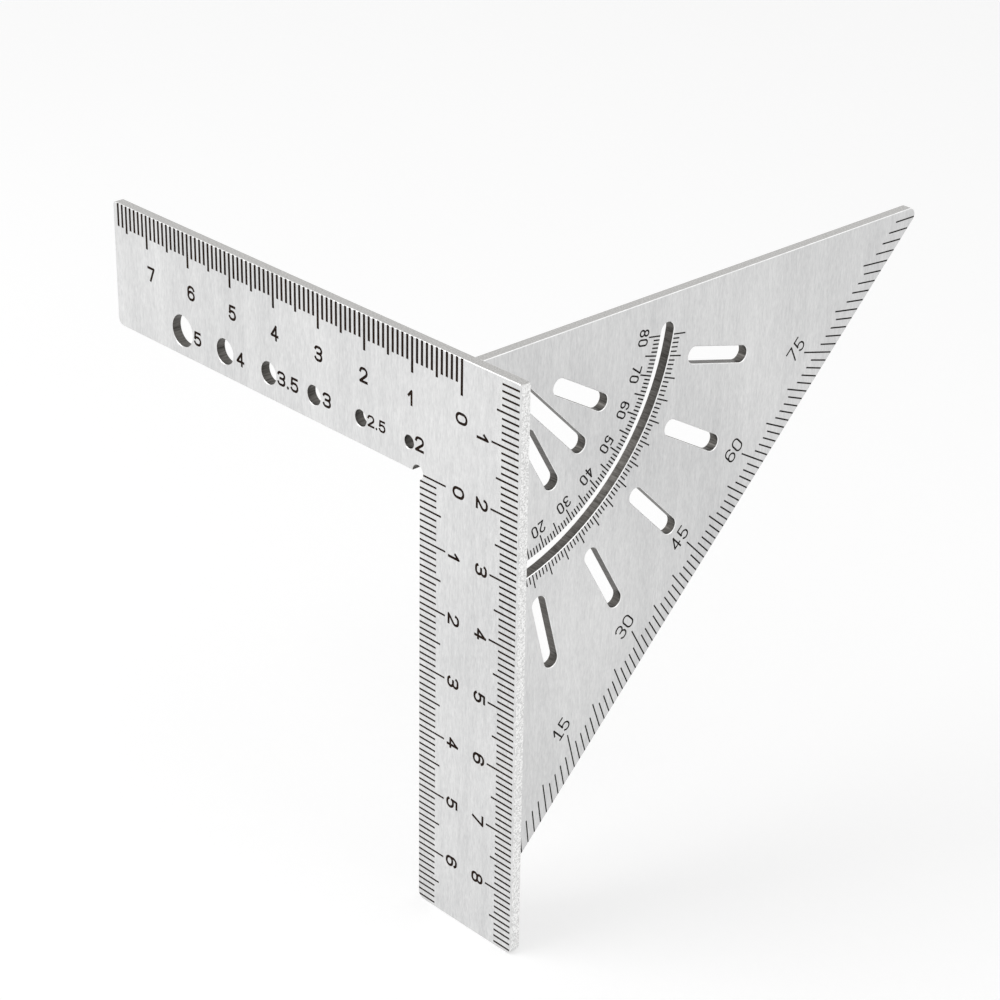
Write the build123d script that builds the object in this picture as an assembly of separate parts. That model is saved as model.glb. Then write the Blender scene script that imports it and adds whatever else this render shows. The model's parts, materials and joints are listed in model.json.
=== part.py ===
from build123d import *
import math
import os

# A mitre square: an L-shaped rule plate with a triangular protractor plate welded square to its back.
# The origin is the corner that is laid on the work, where the rule's back face, the protractor's
# work face and the two top edges meet. +X runs right along the rule, +Y away from it along the
# protractor, and +Z is up. Millimetres; angles in degrees, measured up from straight down.

# Rule plate
rule_length = 89.7
rule_height = 89.7
rule_thickness = 1.7
arm_width = 20.0
# The two upper corners are nearly sharp, and the lower ones are rounded
rule_top_radius = 0.5
rule_corner_radius = 1.2
# Round relief in the L's inner corner, its centre a little way into the level arm's side
relief_radius = 1.1
relief_shift = 0.4
# From the protractor's graduated face to the rule's right edge
rule_overhang = 9.1

# Protractor plate, a right-angled triangle with equal legs along the rule's full height;
# before it is rounded, its tip passes the rule's end by the surplus
protractor_surplus = 0.6
protractor_thickness = 1.7
protractor_tip_radius = 1.2
# From the rule's back face to the centre of the angle scales, along the top edge
angle_centre_inset = 0.3

# Small bevel along every cut edge of both plates
edge_break = 0.1
# How far a cutting solid runs past the surface that it cuts
cut_overrun = 1.0

# Gauge holes in the level arm, the smallest beside the upright arm
gauge_diameter_2 = 2.0
gauge_diameter_25 = 2.5
gauge_diameter_3 = 3.0
gauge_diameter_35 = 3.5
gauge_diameter_4 = 4.0
gauge_diameter_5 = 5.0
# From the upright arm's inner edge to the smallest hole, and from the largest to the level arm's end
gauge_first_inset = 2.2
gauge_last_inset = 16.25
gauge_edge_lift = 4.0

# Pencil slots: an outer row, an arc slot and an inner row, set one after another from the long edge in
slot_width = 2.6
outer_slot_length = 12.8
inner_slot_length = 11.8
# The inner row's middle slot, which runs on towards the corner
middle_slot_length = 18.0
arc_slot_width = 2.6
edge_scale_band = 10.0
outer_tick_band = 4.24
inner_figure_band = 7.31
outer_slot_angles = [15, 30, 45, 60, 75]
inner_slot_lengths = {30: inner_slot_length, 45: middle_slot_length, 60: inner_slot_length}
arc_slot_first_angle = 9
arc_slot_last_angle = 81

# Engraved marks and the colour that fills them
groove_depth = 0.10
fill_recess = 0.02
tick_pitch = 1.0
# Least distance from the end of a plate to the last tick of a scale
scale_end_margin = 0.6
middle_every = 5
major_every = 10

# Top scale, read from the protractor's work face; ticks start and end at distances from the plate's edge.
# Its figures lag behind the first ticks and stand a little closer than ten ticks
scale_zero_gap = 0.7
top_tick_width = 0.48
top_tick_start = 0.04
top_tick_minor = 3.7
top_tick_middle = 4.4
top_tick_major = 5.4
top_figure_drop = 9.2
top_figure_lag = 0.6
top_figure_step_share = 0.98
top_zero_drop = 8.8

# Side scale along the rule's right edge, read from the top edge
side_tick_width = 0.31
side_tick_start = 0.3
side_tick_minor = 3.65
side_tick_middle = 4.65
side_tick_major = 5.6
side_figure_inset = 7.3

# Inner scale along the upright arm's inner edge, read from the level arm's lower edge
inner_tick_width = 0.3
inner_tick_start = 0.04
inner_tick_minor = 3.55
inner_tick_middle = 4.5
inner_tick_major = 5.45
inner_figure_inset = 7.2
inner_zero_inset = 8.0

# Figures on the rule
rule_figure_height = 2.4
rule_figure_width = 1.8
rule_figure_stroke = 0.42
rule_figure_advance = 2.15
gauge_figure_height = 2.3
gauge_figure_width = 1.85
gauge_figure_stroke = 0.41
gauge_figure_advance = 2.05
gauge_point_advance = 0.9
# From a hole to its number
gauge_figure_gap = 0.2
gauge_gap_3 = 0.4
gauge_gap_4 = 0.7
# The row of numbers sinks a little from the smallest hole to the largest
gauge_lift_first = 0.4
gauge_lift_last = -0.1
# Numbers that are cut smaller than the rest of the row
gauge_figure_shares = {"2.5": 0.8}

# Arc scale on both sides of the arc slot
arc_scale_first = 10
arc_scale_last = 80
arc_inner_tick_width = 0.23
arc_inner_tick_start = 0.12
arc_inner_tick_minor = 1.35
arc_inner_tick_major = 2.45
arc_outer_tick_width = 0.22
arc_outer_tick_start = 0.12
arc_outer_tick_minor = 1.4
arc_outer_tick_major = 2.5
arc_figure_setback = 3.5
arc_figure_height = 1.95
arc_figure_width = 1.12
arc_figure_stroke = 0.27
arc_figure_advance = 1.4

# Edge scale along the long edge; tick reaches are measured square to that edge.
# A figure stands square behind the point where its angle crosses the aim line, less a lag along the edge
# towards the smaller angles
edge_scale_first = 1
edge_scale_last = 89
edge_figure_every = 15
edge_tick_width = 0.24
edge_tick_start = 0.15
edge_tick_minor = 3.25
edge_tick_middle = 4.4
edge_tick_major = 5.65
edge_figure_aim = 6.2
edge_figure_setback = 7.7
edge_figure_lag = 0.35
edge_figure_height = 2.6
edge_figure_width = 1.6
edge_figure_stroke = 0.28
edge_figure_advance = 1.95

# Weld beads in the corner behind the rule's overhang
weld_leg = 0.9
weld_length = 8.0
weld_end_inset = 5.0
weld_end_radius = 0.5
weld_bulge_share = 0.6
weld_names = ["weld_bead_top", "weld_bead_upper", "weld_bead_lower", "weld_bead_bottom"]

# Shapes of the figures, as shares of a figure's half width or half height
flag_reach_share = 0.45
flag_height_share = 0.3
stem_share = 0.4
foot_share = 0.7
two_bowl_share = 0.56
three_upper_share = 0.48
three_lower_share = 0.52
three_bar_share = 0.3
four_stem_share = 0.45
four_bar_share = 0.42
five_bowl_share = 0.62
five_top_share = 0.85
five_corner_share = 0.7
six_bowl_share = 0.6
seven_foot_share = 0.25
eight_waist_share = 0.9
point_share = 0.6

# Places worked out from the sizes
rule_right = protractor_thickness + rule_overhang
rule_left = rule_right - rule_length
upright_left = rule_right - arm_width
protractor_leg = rule_height + protractor_surplus
edge_distance = (protractor_leg - angle_centre_inset) / math.sqrt(2)
outer_slot_reach = edge_distance - edge_scale_band
arc_slot_radius = outer_slot_reach - outer_slot_length - outer_tick_band - arc_slot_width / 2
inner_slot_reach = arc_slot_radius - arc_slot_width / 2 - inner_figure_band
angle_centre = (angle_centre_inset, 0)
top_figure_step = top_figure_step_share * major_every * tick_pitch
top_tick_count = int((-rule_left - scale_zero_gap - scale_end_margin) / tick_pitch)
side_tick_count = int((rule_height - scale_end_margin) / tick_pitch)
inner_tick_count = int((rule_height - arm_width - scale_end_margin) / tick_pitch)
rule_face = Plane.XZ.offset(rule_thickness)
protractor_face = Plane.YZ.offset(protractor_thickness)


def polar(centre, radius, angle):
    """Point on a circle, the angle turning left from +X."""
    turn = math.radians(angle)
    return (centre[0] + radius * math.cos(turn), centre[1] + radius * math.sin(turn))


def radial(radius, angle):
    """Point on the protractor at an angle up from straight down."""
    return polar(angle_centre, radius, angle - 90)


def arc_edge(centre, radius, start, end):
    points = [polar(centre, radius, angle) for angle in (start, (start + end) / 2, end)]
    return ThreePointArc(*points)


def bowl(level, radius, spread, start, end):
    """Clockwise run round a bowl with its left and right halves set apart by twice the spread."""
    left = (-spread, level)
    right = (spread, level)
    edges = []
    if start > 90:
        edges.append(arc_edge(left, radius, start, 90))
        if spread > 0:
            edges.append(Line(polar(left, radius, 90), polar(right, radius, 90)))
    edges.append(arc_edge(right, radius, min(start, 90), max(end, -90)))
    if end < -90:
        if spread > 0:
            edges.append(Line(polar(right, radius, -90), polar(left, radius, -90)))
        edges.append(arc_edge(left, radius, -90, end))
    return edges


def stroke(edges, width):
    """Line of the given width with round corners and square ends along a run of edges."""
    run = Wire(edges)
    face = make_face(run.offset_2d(width / 2, kind=Kind.ARC))
    for share, side in ((0, -1), (1, 1)):
        ahead = run % share
        end = run @ share + ahead * side * width / 4
        turn = math.degrees(math.atan2(ahead.Y, ahead.X))
        face += Pos(end.X, end.Y) * Rot(0, 0, turn) * Rectangle(width / 2, width)
    return face


def loop(level, radius, spread, width):
    """Closed ring, drawn out sideways by the spread."""
    if spread > 0:
        outer = SlotOverall(2 * (radius + spread) + width, 2 * radius + width)
        inner = SlotOverall(2 * (radius + spread) - width, 2 * radius - width)
    else:
        outer = Circle(radius + width / 2)
        inner = Circle(radius - width / 2)
    return Pos(0, level) * (outer - inner)


def figure_zero(a, b, width):
    outer = SlotOverall(2 * b + width, 2 * a + width, rotation=90)
    inner = SlotOverall(2 * b - width, 2 * a - width, rotation=90)
    return outer - inner


def figure_one(a, b, width):
    flag = (-flag_reach_share * a, flag_height_share * b)
    stem = stem_share * a
    return stroke(Polyline(flag, (stem, b), (stem, -b)).edges(), width)


def figure_footed_one(a, b, width):
    stem = stem_share * a
    half = foot_share * a
    foot = stroke([Line((stem - half, -b), (stem + half, -b))], width)
    return figure_one(a, b, width) + foot


def figure_two(a, b, width):
    radius = min(a, two_bowl_share * b)
    spread = a - radius
    level = b - radius
    foot = (-a, -b)
    slope = math.hypot(a + spread, b + level)
    aim = math.degrees(math.atan2(-b - level, -a - spread))
    leave = aim + math.degrees(math.acos(radius / slope))
    edges = bowl(level, radius, spread, 170, leave)
    edges.append(Line(polar((spread, level), radius, leave), foot))
    edges.append(Line(foot, (a, -b)))
    return stroke(edges, width)


def figure_three(a, b, width):
    upper = three_upper_share * b
    lower = three_lower_share * b
    waist = b - 2 * upper
    upper_spread = max(0, a - upper)
    top = bowl(b - upper, upper, upper_spread, 155, -90)
    top.append(Line((upper_spread, waist), (-three_bar_share * a, waist)))
    bottom = bowl(lower - b, lower, max(0, a - lower), 90, -155)
    return stroke(top, width) + stroke(bottom, width)


def figure_four(a, b, width):
    stem = four_stem_share * a
    bar = -four_bar_share * b
    slope = stroke(Polyline((stem, b), (-a, bar), (a, bar)).edges(), width)
    return slope + stroke([Line((stem, b), (stem, -b))], width)


def figure_five(a, b, width):
    radius = min(a, five_bowl_share * b)
    spread = a - radius
    level = radius - b
    shoulder = polar((-spread, level), radius, 140)
    roof = Polyline((five_top_share * a, b), (-five_corner_share * a, b), shoulder)
    return stroke(roof.edges(), width) + stroke(bowl(level, radius, spread, 140, -150), width)


def figure_six(a, b, width):
    radius = min(a, six_bowl_share * b)
    spread = a - radius
    back = [Line((-a, radius - b), (-a, b - radius))]
    back += bowl(b - radius, radius, spread, 180, 25)
    return loop(radius - b, radius, spread, width) + stroke(back, width)


def figure_seven(a, b, width):
    return stroke(Polyline((-a, b), (a, b), (-seven_foot_share * a, -b)).edges(), width)


def figure_eight(a, b, width):
    upper = three_upper_share * b
    lower = three_lower_share * b
    head = loop(b - upper, upper, max(0, eight_waist_share * a - upper), width)
    return head + loop(lower - b, lower, max(0, a - lower), width)


def figure_nine(a, b, width):
    return Rot(0, 0, 180) * figure_six(a, b, width)


def figure_point(a, b, width):
    return Pos(0, -b) * Circle(point_share * width)


figure_makers = {
    "0": figure_zero,
    "1": figure_one,
    "I": figure_footed_one,
    "2": figure_two,
    "3": figure_three,
    "4": figure_four,
    "5": figure_five,
    "6": figure_six,
    "7": figure_seven,
    "8": figure_eight,
    "9": figure_nine,
    ".": figure_point,
}


def steps_of(text, advance, point_advance):
    return [point_advance if mark == "." else advance for mark in text]


def figures(text, height, width, line, advance, point_advance=0):
    """Faces of a number centred on the origin, upright, reading along +X."""
    steps = steps_of(text, advance, point_advance)
    place = -sum(steps) / 2
    faces = []
    for mark, step in zip(text, steps):
        face = figure_makers[mark]((width - line) / 2, (height - line) / 2, line)
        faces.append(Pos(place + step / 2, 0) * face)
        place += step
    return faces


def placed(faces, place, turn):
    return [Pos(*place) * Rot(0, 0, turn) * face for face in faces]


def tick(start, end, width):
    """Straight tick between two points."""
    length = math.dist(start, end)
    middle = ((start[0] + end[0]) / 2, (start[1] + end[1]) / 2)
    turn = math.degrees(math.atan2(end[1] - start[1], end[0] - start[0]))
    return Pos(*middle) * Rot(0, 0, turn) * Rectangle(length, width)


def reach(number, minor, middle, major, major_step=major_every):
    if number % major_step == 0:
        return major
    if number % middle_every == 0:
        return middle
    return minor


def top_ticks():
    faces = []
    for number in range(top_tick_count + 1):
        x = -scale_zero_gap - number * tick_pitch
        end = -reach(number, top_tick_minor, top_tick_middle, top_tick_major)
        faces.append(tick((x, -top_tick_start), (x, end), top_tick_width))
    return faces


def rule_number(number):
    sizes = (rule_figure_height, rule_figure_width, rule_figure_stroke)
    return figures(str(number), *sizes, rule_figure_advance)


def top_figures():
    # The zero lies on its side because the side scale shares it
    faces = placed(rule_number(0), (-scale_zero_gap, -top_zero_drop), -90)
    for number in range(1, top_tick_count // major_every + 1):
        x = -scale_zero_gap - top_figure_lag - number * top_figure_step
        faces += placed(rule_number(number), (x, -top_figure_drop), 0)
    return faces


def side_ticks():
    faces = []
    for number in range(1, side_tick_count + 1):
        z = -number * tick_pitch
        start = rule_right - reach(number, side_tick_minor, side_tick_middle, side_tick_major)
        faces.append(tick((start, z), (rule_right - side_tick_start, z), side_tick_width))
    return faces


def side_figures():
    faces = []
    for number in range(1, side_tick_count // major_every + 1):
        place = (rule_right - side_figure_inset, -number * major_every * tick_pitch)
        faces += placed(rule_number(number), place, -90)
    return faces


def relief_reach(drop):
    """How far the inner corner's relief cuts into the upright arm at a drop below the level arm."""
    half_chord = math.sqrt(max(0, relief_radius**2 - drop**2))
    return max(0, half_chord - relief_shift)


def inner_ticks():
    faces = []
    for number in range(inner_tick_count + 1):
        z = -arm_width - number * tick_pitch
        end = upright_left + reach(number, inner_tick_minor, inner_tick_middle, inner_tick_major)
        start = upright_left + relief_reach(number * tick_pitch) + inner_tick_start
        faces.append(tick((start, z), (end, z), inner_tick_width))
    return faces


def inner_figures():
    faces = placed(rule_number(0), (upright_left + inner_zero_inset, -arm_width), -90)
    for number in range(1, inner_tick_count // major_every + 1):
        place = (upright_left + inner_figure_inset, -arm_width - number * major_every * tick_pitch)
        faces += placed(rule_number(number), place, -90)
    return faces


gauge_holes = [
    ("2", gauge_diameter_2, gauge_figure_gap),
    ("2.5", gauge_diameter_25, gauge_figure_gap),
    ("3", gauge_diameter_3, gauge_gap_3),
    ("3.5", gauge_diameter_35, gauge_figure_gap),
    ("4", gauge_diameter_4, gauge_gap_4),
    ("5", gauge_diameter_5, gauge_figure_gap),
]


def gauge_centre(index):
    first = upright_left - gauge_first_inset
    last = rule_left + gauge_last_inset
    x = first + (last - first) * index / (len(gauge_holes) - 1)
    return (x, gauge_edge_lift - arm_width)


def gauge_figures():
    faces = []
    for index, (text, diameter, gap) in enumerate(gauge_holes):
        x, z = gauge_centre(index)
        share = gauge_figure_shares.get(text, 1)
        sizes = (gauge_figure_height, gauge_figure_width, gauge_figure_stroke)
        spacing = [share * gauge_figure_advance, share * gauge_point_advance]
        number = figures(text, *[share * size for size in sizes], *spacing)
        start = x + diameter / 2 + gap
        middle = start + sum(steps_of(text, *spacing)) / 2
        fall = (gauge_lift_first - gauge_lift_last) * index / (len(gauge_holes) - 1)
        faces += placed(number, (middle, z + gauge_lift_first - fall), 0)
    return faces


def arc_ticks(side, start, minor, major, width):
    """Ticks on the inner (-1) or outer (+1) side of the arc slot, measured from its rim."""
    rim = arc_slot_radius + side * arc_slot_width / 2
    faces = []
    for angle in range(arc_scale_first, arc_scale_last + 1):
        end = rim + side * reach(angle, minor, major, major)
        faces.append(tick(radial(rim + side * start, angle), radial(end, angle), width))
    return faces


def inner_arc_ticks():
    reaches = (arc_inner_tick_start, arc_inner_tick_minor, arc_inner_tick_major)
    return arc_ticks(-1, *reaches, arc_inner_tick_width)


def outer_arc_ticks():
    reaches = (arc_outer_tick_start, arc_outer_tick_minor, arc_outer_tick_major)
    return arc_ticks(1, *reaches, arc_outer_tick_width)


def arc_figures():
    radius = arc_slot_radius - arc_slot_width / 2 - arc_figure_setback
    faces = []
    for angle in range(arc_scale_first, arc_scale_last + 1, major_every):
        number = figures(
            str(angle), arc_figure_height, arc_figure_width, arc_figure_stroke, arc_figure_advance
        )
        faces += placed(number, radial(radius, angle), angle + 180)
    return faces


def edge_radius(angle, setback):
    """Distance from the angle centre to a line that runs a setback inside the long edge."""
    return (edge_distance - setback) / math.cos(math.radians(angle - 45))


def edge_ticks():
    faces = []
    for angle in range(edge_scale_first, edge_scale_last + 1):
        depth = reach(angle, edge_tick_minor, edge_tick_middle, edge_tick_major, edge_figure_every)
        start = radial(edge_radius(angle, depth), angle)
        end = radial(edge_radius(angle, edge_tick_start), angle)
        faces.append(tick(start, end, edge_tick_width))
    return faces


def edge_figures():
    faces = []
    for angle in range(edge_figure_every, edge_scale_last, edge_figure_every):
        # The ones of this scale stand on a foot
        text = str(angle).replace("1", "I")
        sizes = (edge_figure_height, edge_figure_width, edge_figure_stroke)
        number = figures(text, *sizes, edge_figure_advance)
        aim = radial(edge_radius(angle, edge_figure_aim), angle)
        behind = polar(aim, edge_figure_setback - edge_figure_aim, 135)
        faces += placed(number, polar(behind, edge_figure_lag, 225), 45)
    return faces


def bevelled(face, plane, thickness):
    """Plate between the plane and the face above it, with every edge of both faces broken."""
    plate = extrude(plane * face, amount=thickness)
    broad = plate.faces().sort_by(SortBy.AREA)[-2:]
    return chamfer(broad.edges(), edge_break)


def rule_blank():
    corners = [
        (rule_left, 0),
        (rule_right, 0),
        (rule_right, -rule_height),
        (upright_left, -rule_height),
        (upright_left, -arm_width),
        (rule_left, -arm_width),
    ]
    outline = make_face(Polyline(*corners, close=True))
    bottom, middle, _ = outline.vertices().group_by(Axis.Y)
    outline = fillet(bottom + middle.sort_by(Axis.X)[:1], rule_corner_radius)
    outline = fillet(outline.vertices().group_by(Axis.Y)[-1], rule_top_radius)
    outline -= Pos(upright_left - relief_shift, -arm_width) * Circle(relief_radius)
    for index, (_, diameter, _) in enumerate(gauge_holes):
        outline -= Pos(*gauge_centre(index)) * Circle(diameter / 2)
    return bevelled(outline, Plane.XZ, rule_thickness)


def pencil_slot(slot_reach, length, angle):
    """Straight slot along an angle, ending at a distance from the angle centre."""
    middle = radial(slot_reach - length / 2, angle)
    return Pos(*middle) * Rot(0, 0, angle - 90) * SlotOverall(length, slot_width)


def protractor_blank():
    outline = make_face(Polyline((0, 0), (protractor_leg, 0), (0, -protractor_leg), close=True))
    tips = [corner for corner in outline.vertices() if Vector(corner).length > protractor_leg / 2]
    outline = fillet(tips, protractor_tip_radius)
    for angle in outer_slot_angles:
        outline -= pencil_slot(outer_slot_reach, outer_slot_length, angle)
    for angle, length in inner_slot_lengths.items():
        outline -= pencil_slot(inner_slot_reach, length, angle)
    sweep = arc_slot_last_angle - arc_slot_first_angle
    middle_line = CenterArc(angle_centre, arc_slot_radius, arc_slot_first_angle - 90, sweep)
    outline -= SlotArc(middle_line, arc_slot_width)
    return bevelled(outline, Plane.YZ, protractor_thickness)


def groove(plane, face):
    return extrude(plane.offset(cut_overrun) * face, amount=-cut_overrun - groove_depth)


def surroundings(blank):
    """The open space round a plate and in its holes."""
    box = blank.bounding_box()
    lengths = [length + 2 * cut_overrun for length in box.size]
    return Pos(*box.center()) * Box(*lengths) - blank


def fill(outside, plane, faces):
    """Colour in a group of grooves, a little below the surface and only where the plate has metal."""
    floor = plane.offset(-groove_depth)
    colour = [extrude(floor * face, amount=groove_depth - fill_recess).solid() for face in faces]
    return Compound(children=(Compound(children=colour) - outside).solids())


def engraved(blank, plane, marks):
    """The plate with its grooves, and the colour of each group of marks."""
    plate = blank - [groove(plane, face) for faces in marks.values() for face in faces]
    outside = surroundings(blank)
    fills = {name: fill(outside, plane, faces) for name, faces in marks.items()}
    return plate, fills


def weld_bead(top):
    """Fillet weld in the corner between the rule's back and the protractor's graduated face."""
    bulge = weld_bulge_share * weld_leg
    corner = (protractor_thickness, 0)
    along = (protractor_thickness + weld_leg, 0)
    up = (protractor_thickness, weld_leg)
    crown = ThreePointArc(along, (protractor_thickness + bulge, bulge), up)
    section = make_face([Line(corner, along), crown, Line(up, corner)])
    bead = extrude(Plane.XY.offset(top) * section, amount=-weld_length)
    return fillet(bead.edges().filter_by(GeomType.CIRCLE), weld_end_radius)


def weld_beads():
    seam = rule_height - 2 * weld_end_inset - weld_length
    step = seam / (len(weld_names) - 1)
    return {name: weld_bead(-weld_end_inset - index * step) for index, name in enumerate(weld_names)}


rule_marks = {
    "top_scale_ticks": top_ticks(),
    "top_scale_figures": top_figures(),
    "side_scale_ticks": side_ticks(),
    "side_scale_figures": side_figures(),
    "inner_scale_ticks": inner_ticks(),
    "inner_scale_figures": inner_figures(),
    "gauge_hole_figures": gauge_figures(),
}
protractor_marks = {
    "arc_scale_inner_ticks": inner_arc_ticks(),
    "arc_scale_outer_ticks": outer_arc_ticks(),
    "arc_scale_figures": arc_figures(),
    "edge_scale_ticks": edge_ticks(),
    "edge_scale_figures": edge_figures(),
}

rule_plate, rule_fills = engraved(rule_blank(), rule_face, rule_marks)
protractor_plate, protractor_fills = engraved(protractor_blank(), protractor_face, protractor_marks)

nodes = {"rule_plate": rule_plate, "protractor_plate": protractor_plate}
nodes |= weld_beads()
nodes |= rule_fills
nodes |= protractor_fills

os.makedirs("parts", exist_ok=True)
for name, shape in nodes.items():
    export_step(shape, f"parts/{name}.step")
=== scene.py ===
import json
import math

import bpy
from mathutils import Euler, Matrix, Vector


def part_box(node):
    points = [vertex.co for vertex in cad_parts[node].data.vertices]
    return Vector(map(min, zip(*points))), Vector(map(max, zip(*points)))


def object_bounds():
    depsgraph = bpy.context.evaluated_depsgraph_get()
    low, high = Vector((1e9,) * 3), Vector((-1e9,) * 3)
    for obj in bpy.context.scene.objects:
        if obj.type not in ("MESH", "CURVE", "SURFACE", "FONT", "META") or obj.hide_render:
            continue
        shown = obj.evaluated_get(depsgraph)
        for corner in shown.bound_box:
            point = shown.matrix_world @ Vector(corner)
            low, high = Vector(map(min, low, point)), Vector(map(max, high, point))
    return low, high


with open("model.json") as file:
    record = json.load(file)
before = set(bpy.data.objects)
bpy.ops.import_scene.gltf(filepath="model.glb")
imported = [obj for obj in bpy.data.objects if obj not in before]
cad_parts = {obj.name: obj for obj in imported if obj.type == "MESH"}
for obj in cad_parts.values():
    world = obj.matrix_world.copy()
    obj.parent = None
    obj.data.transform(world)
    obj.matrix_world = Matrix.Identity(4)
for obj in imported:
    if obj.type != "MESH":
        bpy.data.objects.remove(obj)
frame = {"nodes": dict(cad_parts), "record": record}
cad_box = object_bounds()

# Lengths and places are in metres, in the part's frame
X_AXIS, Y_AXIS, Z_AXIS = 0, 1, 2

# Camera: fitted to points of the tool in the photograph, with square pixels and no shift
EYE = Vector((0.249685, -0.230020, 0.148083))
CAMERA_DEGREES = (63.5054, -0.8417, 47.1609)
FOCAL_PIXELS = 2796.988
IMAGE_PIXELS = 1000.0
SENSOR_MM = 36.0
NEAR_CLIP = 0.01

# Light
WORLD_LEVEL = 0.62
KEY_PLACE = Vector((-0.23, -0.36, 0.48))
KEY_SIZE = 0.45
KEY_WATTS = 1.4
SIDE_PLACE = Vector((0.60, 0.18, 0.40))
SIDE_SIZE = 0.50
SIDE_WATTS = 0.45
LAMP_AIM = Vector((-0.01, 0.03, -0.05))

# Floor
FLOOR_SIZE = 6.0
FLOOR_GLOW = 0.48
FLOOR_ROUGHNESS = 0.9

# Colours, linear: each pair is the two ends of a surface's tones
RULE_FACE = ((0.585, 0.587, 0.590, 1.0), (0.854, 0.854, 0.851, 1.0))
# Painted highlight on the rule's bevels, a little brighter than its faces
RULE_BEVEL_HIGHLIGHT = ((0.660, 0.660, 0.656, 1.0), (0.830, 0.830, 0.826, 1.0))
# Painted shade: the protractor's faces are the rule's steel made a little darker
PROTRACTOR_FACE_SHADED = ((0.553, 0.555, 0.558, 1.0), (0.808, 0.808, 0.805, 1.0))
# Painted highlight on the protractor's bevels, near white
PROTRACTOR_BEVEL_HIGHLIGHT = ((0.860, 0.860, 0.856, 1.0), (0.980, 0.980, 0.976, 1.0))
UPRIGHT_EDGE = ((0.640, 0.640, 0.636, 1.0), (0.980, 0.979, 0.972, 1.0))
# Painted shade: darker, slightly warm tones for cut edges that look up or down
LEVEL_EDGE_SHADE = ((0.420, 0.414, 0.404, 1.0), (0.580, 0.574, 0.562, 1.0))
# Painted shade: dark tones on the walls of the holes and slots, standing in for the shade inside them
SHADED_WALL = ((0.064, 0.060, 0.055, 1.0), (0.160, 0.153, 0.144, 1.0))
RULE_MARK = ((0.012, 0.007, 0.005, 1.0), (0.036, 0.021, 0.014, 1.0))
PROTRACTOR_MARK = ((0.014, 0.012, 0.011, 1.0), (0.038, 0.034, 0.031, 1.0))
WELD_GREY_AND_STRAW = ((0.380, 0.370, 0.355, 1.0), (0.420, 0.300, 0.180, 1.0))
FLOOR = ((0.595, 0.595, 0.595, 1.0), (0.608, 0.608, 0.608, 1.0))
WHITE = (1.0, 1.0, 1.0, 1.0)

# Noise patterns: cells to the metre along X, Y and Z, then layers of detail
FINE_GRAIN = ((5600.0, 5600.0, 1400.0), 3.0)
COARSE_GRAIN = ((2600.0, 2600.0, 440.0), 2.0)
MOTTLE = ((1500.0, 1500.0, 1100.0), 3.0)
BANDS = ((380.0, 380.0, 14.0), 2.0)
CLOUDS = ((34.0, 34.0, 26.0), 2.0)
SCRATCHES = ((2600.0, 2600.0, 70.0), 1.0)
GRIT = ((4300.0, 4300.0, 4300.0), 2.0)
WEAR = ((900.0, 900.0, 900.0), 3.0)
RULE_CUT = ((4200.0, 420.0, 4200.0), 3.0)
PROTRACTOR_CUT = ((420.0, 4200.0, 4200.0), 3.0)
MARK_SPECKS = ((4200.0, 4200.0, 4200.0), 3.0)
MARK_CLOUDS = ((160.0, 160.0, 160.0), 2.0)
WELD_STAIN = ((600.0, 600.0, 300.0), 3.0)
FLOOR_CLOUDS = ((9.0, 9.0, 9.0), 2.0)
SCRATCH_TURN = (0.5, 0.6, 0.0)
RIPPLE_CELLS = (300.0, 300.0, 420.0)
RIPPLE_SHAPE = {"Scale": 1.0, "Distortion": 2.0, "Detail": 2.0}

# Share of each pattern in the sum that it goes into
FINE_SHARE, COARSE_SHARE, MOTTLE_SHARE = 0.50, 0.35, 0.15
GRAIN_SHARE, BAND_SHARE, CLOUD_SHARE = 0.58, 0.16, 0.26
SPECK_SHARE, MARK_CLOUD_SHARE = 0.6, 0.4
SCRATCH_SHARE = 0.3
GRIT_BUMP_SHARE = 0.5

# Values of a pattern between which its surface goes from one tone or roughness to the other
FULL_RANGE = (0.0, 1.0)
FACE_LIMITS = (0.34, 0.66)
SCRATCH_LIMITS = (0.70, 0.78)
PEBBLE_LIMITS = (0.36, 0.64)
CUT_LIMITS = (0.30, 0.70)
WEAR_LIMITS = (0.35, 0.60)
MARK_LIMITS = (0.35, 0.65)
STAIN_LIMITS = (0.40, 0.65)
ROUGHNESS_LIMITS = (0.30, 0.70)

# Roughness, gloss and bump
STEEL_ROUGHNESS = (0.36, 0.46)
MARK_ROUGHNESS = (0.62, 0.80)
WELD_ROUGHNESS = (0.30, 0.50)
METALLIC = 1.0
MARK_SPECULAR = 0.05
STEEL_BUMP = {"Strength": 0.18, "Distance": 0.00004}
MARK_BUMP = {"Strength": 0.3, "Distance": 0.00002}
WELD_BUMP = {"Strength": 0.6, "Distance": 0.0001}

# How squarely a surface looks along its sheet's axis: 0 on a cut edge, 1 on a broad face
# Surfaces between the bevel limits get the painted highlight
BEVEL_LIMITS = (0.25, 0.50)
BROAD_LIMITS = (0.85, 0.97)

# How squarely a cut edge looks up or down, which sets its painted shade
LEVEL_LIMITS = (0.50, 0.90)

# Upright boxes through the rule that hold the painted shade on the walls of its gauge holes and of its
# inner corner's relief
GAUGE_ROW_LEFT, GAUGE_ROW_RIGHT = -0.0770, -0.0096
GAUGE_ROW_LOW, GAUGE_ROW_HIGH = -0.0195, -0.0040
RELIEF_LEFT, RELIEF_RIGHT = -0.01075, -0.0084
RELIEF_LOW, RELIEF_HIGH = -0.02105, -0.0188

# Strips along the protractor's edges that hold no slot and get no painted wall shade, the long one
# measured along a leg from its tip
SHORT_EDGE_STRIP = 0.0020
LONG_EDGE_STRIP = 0.0006

# Sockets of the mix node that hold colours
MIX_AMOUNT, MIX_FIRST, MIX_SECOND, MIX_RESULT = 0, 6, 7, 2


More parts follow.
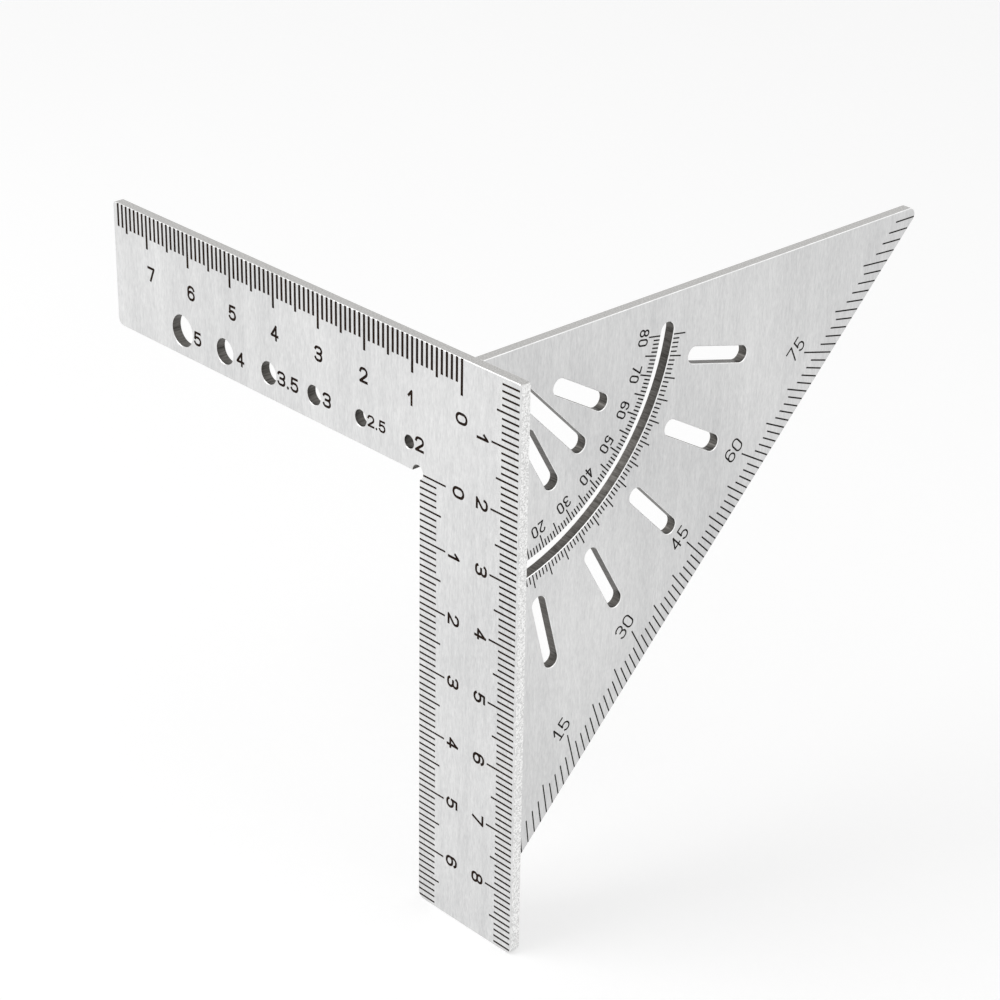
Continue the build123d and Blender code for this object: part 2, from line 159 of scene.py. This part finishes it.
def add(tree, kind, inputs=None, **settings):
    """New node; an input is a socket to link or a constant."""
    made = tree.nodes.new(kind)
    for name, value in settings.items():
        setattr(made, name, value)
    for key, value in (inputs or {}).items():
        if isinstance(value, bpy.types.NodeSocket):
            tree.links.new(value, made.inputs[key])
        else:
            made.inputs[key].default_value = value
    return made


def maths(tree, operation, first, second=0.0, third=0.0):
    """Result of one operation on up to three values."""
    return add(tree, "ShaderNodeMath", {0: first, 1: second, 2: third}, operation=operation).outputs[0]


def spread(tree, value, limits, results=FULL_RANGE):
    """Value remapped from its limits to two results, and held between them."""
    low, high = limits
    first, second = results
    inputs = {"Value": value, "From Min": low, "From Max": high, "To Min": first, "To Max": second}
    return add(tree, "ShaderNodeMapRange", inputs).outputs["Result"]


def mixed(tree, amount, first, second):
    """Colour between two."""
    inputs = {MIX_AMOUNT: amount, MIX_FIRST: first, MIX_SECOND: second}
    return add(tree, "ShaderNodeMix", inputs, data_type="RGBA").outputs[MIX_RESULT]


def blend(tree, *shares):
    """Sum of values, each times its share."""
    total = 0.0
    for value, share in shares:
        total = maths(tree, "MULTIPLY_ADD", value, share, total)
    return total


def noise(tree, point, cells, detail, turn=(0.0, 0.0, 0.0)):
    """Noise with its own number of cells to the metre along each axis."""
    placed = add(tree, "ShaderNodeMapping", {"Vector": point, "Scale": cells, "Rotation": turn})
    inputs = {"Vector": placed.outputs[0], "Scale": 1.0, "Detail": detail}
    return add(tree, "ShaderNodeTexNoise", inputs).outputs[0]


def object_point(tree):
    """Place on the surface, in the part's frame."""
    return add(tree, "ShaderNodeTexCoord").outputs["Object"]


def split(tree, vector):
    """A vector's three parts."""
    return add(tree, "ShaderNodeSeparateXYZ", {0: vector}).outputs


def between(tree, value, low, high):
    """1 where the value lies between two limits, else 0."""
    return maths(tree, "COMPARE", value, (low + high) / 2, (high - low) / 2)


def boxed(tree, place, left, right, low, high):
    """1 inside an upright box that runs through the rule, else 0."""
    across = between(tree, place[X_AXIS], left, right)
    return maths(tree, "MULTIPLY", across, between(tree, place[Z_AXIS], low, high))


def rule_wall_shade(tree, place):
    """1 round the rule's row of gauge holes and round the relief in its inner corner, where the walls get
    painted shade, else 0.
    """
    holes = boxed(tree, place, GAUGE_ROW_LEFT, GAUGE_ROW_RIGHT, GAUGE_ROW_LOW, GAUGE_ROW_HIGH)
    relief = boxed(tree, place, RELIEF_LEFT, RELIEF_RIGHT, RELIEF_LOW, RELIEF_HIGH)
    return maths(tree, "MAXIMUM", holes, relief)


def protractor_wall_shade(tree, place):
    """1 inside the protractor's outline, clear of its own three edges, where the slot walls get painted
    shade, else 0.
    """
    low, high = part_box("protractor_plate")
    away, up = place[Y_AXIS], place[Z_AXIS]
    behind_front = maths(tree, "GREATER_THAN", away, low.y + SHORT_EDGE_STRIP)
    under_top = maths(tree, "LESS_THAN", up, high.z - SHORT_EDGE_STRIP)
    reach = maths(tree, "SUBTRACT", away, up)
    inside_long = maths(tree, "LESS_THAN", reach, high.y - high.z - LONG_EDGE_STRIP)
    return maths(tree, "MULTIPLY", maths(tree, "MULTIPLY", behind_front, under_top), inside_long)


def new_material(name):
    """Material with its node tree and shader."""
    material = bpy.data.materials.new(name)
    material.use_nodes = True
    tree = material.node_tree
    return material, tree, tree.nodes["Principled BSDF"]


def dress(tree, shader, colour, roughness, height, bump):
    """Links a colour, a roughness and a bump's height to the shader."""
    relief = add(tree, "ShaderNodeBump", {"Height": height, **bump})
    tree.links.new(colour, shader.inputs["Base Color"])
    tree.links.new(roughness, shader.inputs["Roughness"])
    tree.links.new(relief.outputs[0], shader.inputs["Normal"])


def brush_grain(tree, point):
    """Upright brush grain in two sizes, with the mottle of the rolled sheet."""
    fine = noise(tree, point, *FINE_GRAIN)
    coarse = noise(tree, point, *COARSE_GRAIN)
    mottle = noise(tree, point, *MOTTLE)
    return blend(tree, (fine, FINE_SHARE), (coarse, COARSE_SHARE), (mottle, MOTTLE_SHARE))


def brushed_face(tree, point, grain, tones):
    """Grain with broad bands and slow clouds of tone, and stray scratches at a slant."""
    band = noise(tree, point, *BANDS)
    cloud = noise(tree, point, *CLOUDS)
    tone = blend(tree, (grain, GRAIN_SHARE), (band, BAND_SHARE), (cloud, CLOUD_SHARE))
    face = mixed(tree, spread(tree, tone, FACE_LIMITS), *tones)
    scratch = noise(tree, point, *SCRATCHES, SCRATCH_TURN)
    bright = tones[1]
    return mixed(tree, spread(tree, scratch, SCRATCH_LIMITS, (0.0, SCRATCH_SHARE)), face, bright)


def blasted_edge(tree, grit, upward):
    """Outer edge of the sheet, with painted shade where it looks up or down."""
    pebbles = spread(tree, grit, PEBBLE_LIMITS)
    upright = mixed(tree, pebbles, *UPRIGHT_EDGE)
    # Painted shade on edges that look up or down
    level = mixed(tree, pebbles, *LEVEL_EDGE_SHADE)
    return mixed(tree, spread(tree, upward, LEVEL_LIMITS), upright, level)


def steel(name, axis, shaded_walls_at, cut, faces, bevel_highlights):
    """Brushed sheet whose broad faces look along one axis, with painted highlights on its bevels, blasted
    outer edges with painted shade where they look up or down, and painted shade on the walls of its holes
    and slots, marked across the sheet by the cut."""
    material, tree, shader = new_material(name)
    point = object_point(tree)
    normal = split(tree, add(tree, "ShaderNodeNewGeometry").outputs["Normal"])
    facing = maths(tree, "ABSOLUTE", normal[axis])
    upward = maths(tree, "ABSOLUTE", normal[Z_AXIS])
    broad = spread(tree, facing, BROAD_LIMITS)
    not_broad = spread(tree, facing, BROAD_LIMITS, (1.0, 0.0))
    # Mask of the bevels that get the painted highlight
    bevel_highlight_mask = maths(tree, "MULTIPLY", spread(tree, facing, BEVEL_LIMITS), not_broad)

    grain = brush_grain(tree, point)
    face = brushed_face(tree, point, grain, faces)
    grit = noise(tree, point, *GRIT)
    # Painted shade on the walls of the holes and slots, with cut marks across it
    shaded_wall = mixed(tree, spread(tree, noise(tree, point, *cut), CUT_LIMITS), *SHADED_WALL)
    edge = mixed(tree, shaded_walls_at(tree, split(tree, point)), blasted_edge(tree, grit, upward), shaded_wall)
    # Painted highlight on the bevels, uneven with wear
    bevel_highlight = mixed(tree, spread(tree, noise(tree, point, *WEAR), WEAR_LIMITS), *bevel_highlights)
    colour = mixed(tree, bevel_highlight_mask, mixed(tree, broad, edge, face), bevel_highlight)

    roughness = spread(tree, grain, ROUGHNESS_LIMITS, STEEL_ROUGHNESS)
    brushing = maths(tree, "MULTIPLY", grain, broad)
    height = maths(tree, "MULTIPLY_ADD", grit, GRIT_BUMP_SHARE, brushing)
    dress(tree, shader, colour, roughness, height, STEEL_BUMP)
    shader.inputs["Metallic"].default_value = METALLIC
    return material


def mark(name, tones):
    """Matt colour lying in an engraved groove, a little uneven."""
    material, tree, shader = new_material(name)
    point = object_point(tree)
    speck = noise(tree, point, *MARK_SPECKS)
    cloud = noise(tree, point, *MARK_CLOUDS)
    tone = blend(tree, (speck, SPECK_SHARE), (cloud, MARK_CLOUD_SHARE))
    colour = mixed(tree, spread(tree, tone, MARK_LIMITS), *tones)
    roughness = spread(tree, speck, ROUGHNESS_LIMITS, MARK_ROUGHNESS)
    dress(tree, shader, colour, roughness, speck, MARK_BUMP)
    shader.inputs["Specular IOR Level"].default_value = MARK_SPECULAR
    return material


def weld(name):
    """Weld metal with ripples along the seam and patches of straw tint."""
    material, tree, shader = new_material(name)
    point = object_point(tree)
    placed = add(tree, "ShaderNodeMapping", {"Vector": point, "Scale": RIPPLE_CELLS}).outputs[0]
    wave = add(tree, "ShaderNodeTexWave", {"Vector": placed, **RIPPLE_SHAPE}, bands_direction="Z")
    ripple = wave.outputs["Fac"]
    stain = noise(tree, point, *WELD_STAIN)
    colour = mixed(tree, spread(tree, stain, STAIN_LIMITS), *WELD_GREY_AND_STRAW)
    roughness = spread(tree, ripple, FULL_RANGE, WELD_ROUGHNESS)
    dress(tree, shader, colour, roughness, ripple, WELD_BUMP)
    shader.inputs["Metallic"].default_value = METALLIC
    return material


def looked_at(tree):
    """1 for rays from the camera and for mirrored or refracted rays, 0 for light that falls on things."""
    rays = add(tree, "ShaderNodeLightPath").outputs
    seen = maths(tree, "ADD", rays["Is Camera Ray"], rays["Is Glossy Ray"])
    return maths(tree, "MINIMUM", maths(tree, "ADD", seen, rays["Is Transmission Ray"]), 1.0)


def floor_finish(name):
    """Pale matt floor that looks nearly white and keeps the shadows on it."""
    material, tree, shader = new_material(name)
    cloud = noise(tree, object_point(tree), *FLOOR_CLOUDS)
    glow = maths(tree, "MULTIPLY", looked_at(tree), FLOOR_GLOW)
    tree.links.new(mixed(tree, cloud, *FLOOR), shader.inputs["Base Color"])
    tree.links.new(glow, shader.inputs["Emission Strength"])
    shader.inputs["Emission Color"].default_value = WHITE
    shader.inputs["Roughness"].default_value = FLOOR_ROUGHNESS
    return material


def lay_floor(level):
    """Square floor at one level."""
    half = FLOOR_SIZE / 2
    corners = [(-half, -half, level), (half, -half, level), (half, half, level), (-half, half, level)]
    mesh = bpy.data.meshes.new("floor")
    mesh.from_pydata(corners, [], [(0, 1, 2, 3)])
    mesh.materials.append(floor_finish("pale_floor"))
    floor = bpy.data.objects.new("floor", mesh)
    bpy.context.scene.collection.objects.link(floor)


def light_world():
    """Plain soft light, white where the camera, metal or glass looks straight at it."""
    world = bpy.data.worlds.new("studio")
    bpy.context.scene.world = world
    world.use_nodes = True
    tree = world.node_tree
    backdrop = tree.nodes["Background"]
    backdrop.inputs["Color"].default_value = WHITE
    strength = spread(tree, looked_at(tree), FULL_RANGE, (WORLD_LEVEL, 1.0))
    tree.links.new(strength, backdrop.inputs["Strength"])


def area_light(name, place, size, watts):
    """Square lamp aimed at the middle of the tool."""
    lamp = bpy.data.lights.new(name, "AREA")
    lamp.size = size
    lamp.energy = watts
    holder = bpy.data.objects.new(name, lamp)
    bpy.context.scene.collection.objects.link(holder)
    holder.location = place
    holder.rotation_euler = (LAMP_AIM - place).to_track_quat("-Z", "Y").to_euler()


def place_camera():
    """The scene's camera, at the photograph's viewing angle."""
    data = bpy.data.cameras.new("camera")
    data.sensor_width = SENSOR_MM
    data.sensor_height = SENSOR_MM
    data.lens = FOCAL_PIXELS / IMAGE_PIXELS * SENSOR_MM
    data.clip_start = NEAR_CLIP
    camera = bpy.data.objects.new("camera", data)
    bpy.context.scene.collection.objects.link(camera)
    turn = Euler([math.radians(angle) for angle in CAMERA_DEGREES])
    camera.matrix_world = Matrix.LocRotScale(EYE, turn, None)
    bpy.context.scene.camera = camera


# Both steels carry painted light: shade on their walls and on edges that look up or down, highlights on
# their bevels, and painted shade making the protractor's faces darker
finishes = {
    "rule_steel": steel(
        "rule_brushed_steel_and_painted_light", Y_AXIS, rule_wall_shade, RULE_CUT, RULE_FACE, RULE_BEVEL_HIGHLIGHT
    ),
    "protractor_steel": steel(
        "protractor_brushed_steel_and_painted_light", X_AXIS, protractor_wall_shade, PROTRACTOR_CUT, PROTRACTOR_FACE_SHADED, PROTRACTOR_BEVEL_HIGHLIGHT
    ),
    "weld_steel": weld("weld_metal"),
    "rule_mark": mark("rule_mark_colour", RULE_MARK),
    "protractor_mark": mark("protractor_mark_colour", PROTRACTOR_MARK),
}
for entry in frame["record"]["subparts"]:
    part = frame["nodes"][entry["node"]]
    for slot in part.material_slots:
        slot.material = finishes[entry["material_slot"]]

# The floor lies under the lowest point of the tool
lay_floor(cad_box[0].z)
light_world()
area_light("key_softbox", KEY_PLACE, KEY_SIZE, KEY_WATTS)
area_light("side_softbox", SIDE_PLACE, SIDE_SIZE, SIDE_WATTS)
place_camera()
bpy.context.scene.view_settings.view_transform = "Standard"
